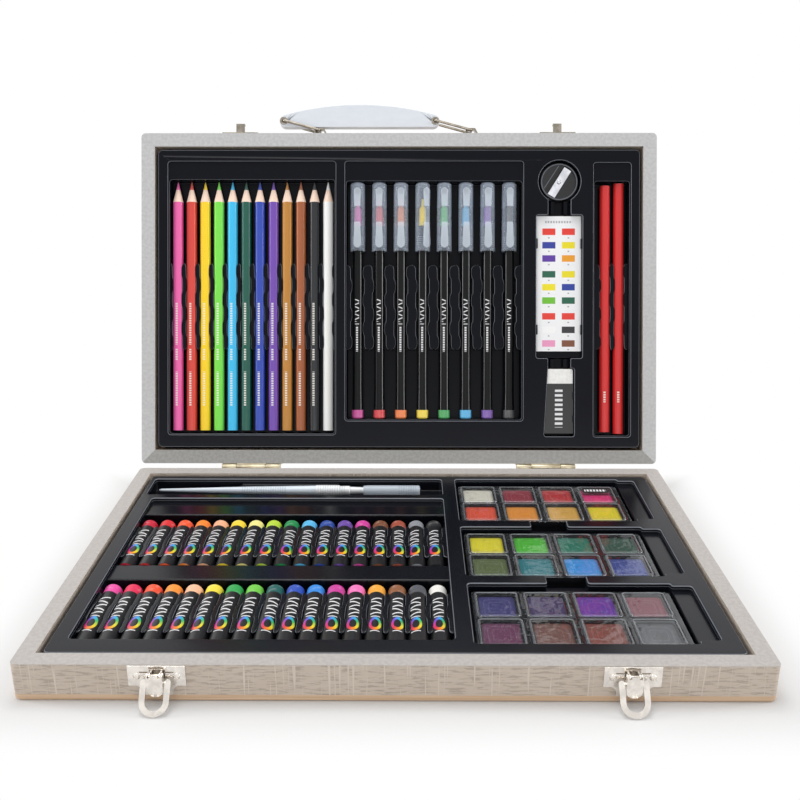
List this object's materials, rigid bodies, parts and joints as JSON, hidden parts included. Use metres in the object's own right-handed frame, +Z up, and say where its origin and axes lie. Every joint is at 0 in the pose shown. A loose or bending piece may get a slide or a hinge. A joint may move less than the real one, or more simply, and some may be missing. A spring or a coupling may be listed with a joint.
{
  "type": "hinged art set case",
  "caption": "Hinged wooden case, lid open, with latches, carrying handle and pressed trays that hold pencils, pens, crayons, watercolour palettes, a brush, sharpener, chart and eraser.",
  "frame": {"origin": "centre of the base's underside, on the surface that the case lies on", "axes": "+X to the right as seen from the latches, +Y from the latches towards the hinges, +Z up"},
  "size_m": [0.36, 0.3407, 0.2597],
  "materials": {
    "washed_wood": "grey-washed timber with fine streaks, matt varnish",
    "bare_panel": "plain sanded board",
    "tray_plastic": "pressed dark sheet, soft sheen",
    "pale_brass": "plated, satin",
    "nickel": "bright nickel plate",
    "pale_grip": "smooth pale moulding",
    "crayon_wax": "wax, one colour a stick",
    "black_paper": "printed paper wrapper with plain bands",
    "clear_plastic": "clear moulding",
    "white_plastic": "white moulding",
    "paint": "dry watercolour cake, one colour a pan",
    "painted_pencil": "lacquered casing, one colour a pencil",
    "pencil_lead": "waxy coloured lead",
    "red_lacquer": "red lacquered casing",
    "graphite": "graphite core",
    "black_plastic": "black moulding",
    "ink_plastic": "coloured moulding, one colour a pen",
    "white_card": "white card with plain colour patches",
    "eraser_rubber": "white vinyl eraser"
  },
  "bodies": {
    "base": {"base_rail_front": "washed_wood", "base_rail_back": "washed_wood", "base_rail_left": "washed_wood", "base_rail_right": "washed_wood", "base_panel": "bare_panel", "base_tray": "tray_plastic", "hinge_lower_leaves": "pale_brass", "hinge_pins": "nickel", "hinge_lower_screws": "pale_brass", "latch_plates": "nickel", "latch_axles": "nickel", "latch_screws": "nickel", "crayon_sticks_back": "crayon_wax", "crayon_wrappers_back": "black_paper", "crayon_sticks_front": "crayon_wax", "crayon_wrappers_front": "black_paper", "brush_handle": "clear_plastic", "brush_ferrule": "white_plastic", "brush_cap": "clear_plastic", "palette_base_1": "tray_plastic", "palette_base_2": "tray_plastic", "palette_base_3": "tray_plastic", "palette_paints_1": "paint", "palette_paints_2": "paint", "palette_paints_3": "paint", "palette_covers": "clear_plastic"},
    "lid": {"lid_rail_front": "washed_wood", "lid_rail_back": "washed_wood", "lid_rail_left": "washed_wood", "lid_rail_right": "washed_wood", "lid_panel": "bare_panel", "lid_tray": "tray_plastic", "hinge_upper_leaves": "pale_brass", "hinge_upper_screws": "pale_brass", "strikes": "nickel", "strike_screws": "nickel", "handle_brackets": "nickel", "handle_bracket_screws": "nickel", "pencil_casings": "painted_pencil", "pencil_leads": "pencil_lead", "drawing_pencil_casings": "red_lacquer", "drawing_pencil_leads": "graphite", "pen_barrels": "black_plastic", "pen_nibs": "ink_plastic", "pen_caps": "clear_plastic", "pen_plugs": "ink_plastic", "sharpener_body": "black_plastic", "sharpener_blade": "nickel", "sharpener_screw": "nickel", "colour_chart": "white_card", "eraser_block": "eraser_rubber", "eraser_sleeve": "black_paper"},
    "lever_left": {"latch_lever_left": "nickel"},
    "lever_right": {"latch_lever_right": "nickel"},
    "bail_left": {"latch_bail_left": "nickel"},
    "bail_right": {"latch_bail_right": "nickel"},
    "link_left": {"handle_link_left": "nickel"},
    "link_right": {"handle_link_right": "nickel"},
    "grip": {"handle_grip": "pale_grip", "handle_eyelets": "nickel"}
  },
  "joints": [
    {"name": "lid_hinge", "type": "hinge", "parent": "base", "child": "lid", "pos_m": [0, 0.1177, 0.02025], "axis": [-1, 0, 0], "range_deg": [-108.7, 0]},
    {"name": "latch_lever_left", "type": "hinge", "parent": "base", "child": "lever_left", "pos_m": [-0.111, -0.1189, 0.0164], "axis": [-1, 0, 0], "range_deg": [0, 150]},
    {"name": "latch_bail_left", "type": "hinge", "parent": "lever_left", "child": "bail_left", "pos_m": [-0.111, -0.1184, 0.0124], "axis": [1, 0, 0], "range_deg": [-140.51, 0]},
    {"name": "latch_lever_right", "type": "hinge", "parent": "base", "child": "lever_right", "pos_m": [0.111, -0.1189, 0.0164], "axis": [-1, 0, 0], "range_deg": [0, 150]},
    {"name": "latch_bail_right", "type": "hinge", "parent": "lever_right", "child": "bail_right", "pos_m": [0.111, -0.1184, 0.0124], "axis": [1, 0, 0], "range_deg": [-140.51, 0]},
    {"name": "handle_swing", "type": "hinge", "parent": "lid", "child": "link_left", "pos_m": [-0.0558, 0.20336, 0.24136], "axis": [0, 0.9472, -0.3206], "range_deg": [0, 149.6]},
    {"name": "handle_link_right_swing", "type": "hinge", "parent": "lid", "child": "link_right", "pos_m": [0.051, 0.20336, 0.24136], "axis": [0, 0.9472, -0.3206], "range_deg": [0, 149.6]},
    {"name": "grip_pivot", "type": "hinge", "parent": "link_left", "child": "grip", "pos_m": [-0.08118, 0.20557, 0.24789], "axis": [0, 0.9472, -0.3206], "range_deg": [-149.6, 0]}
  ],
  "couplings": [
    {"joint": "handle_link_right_swing", "follows": "handle_swing", "ratio": 1},
    {"joint": "grip_pivot", "follows": "handle_swing", "ratio": -1}
  ]
}
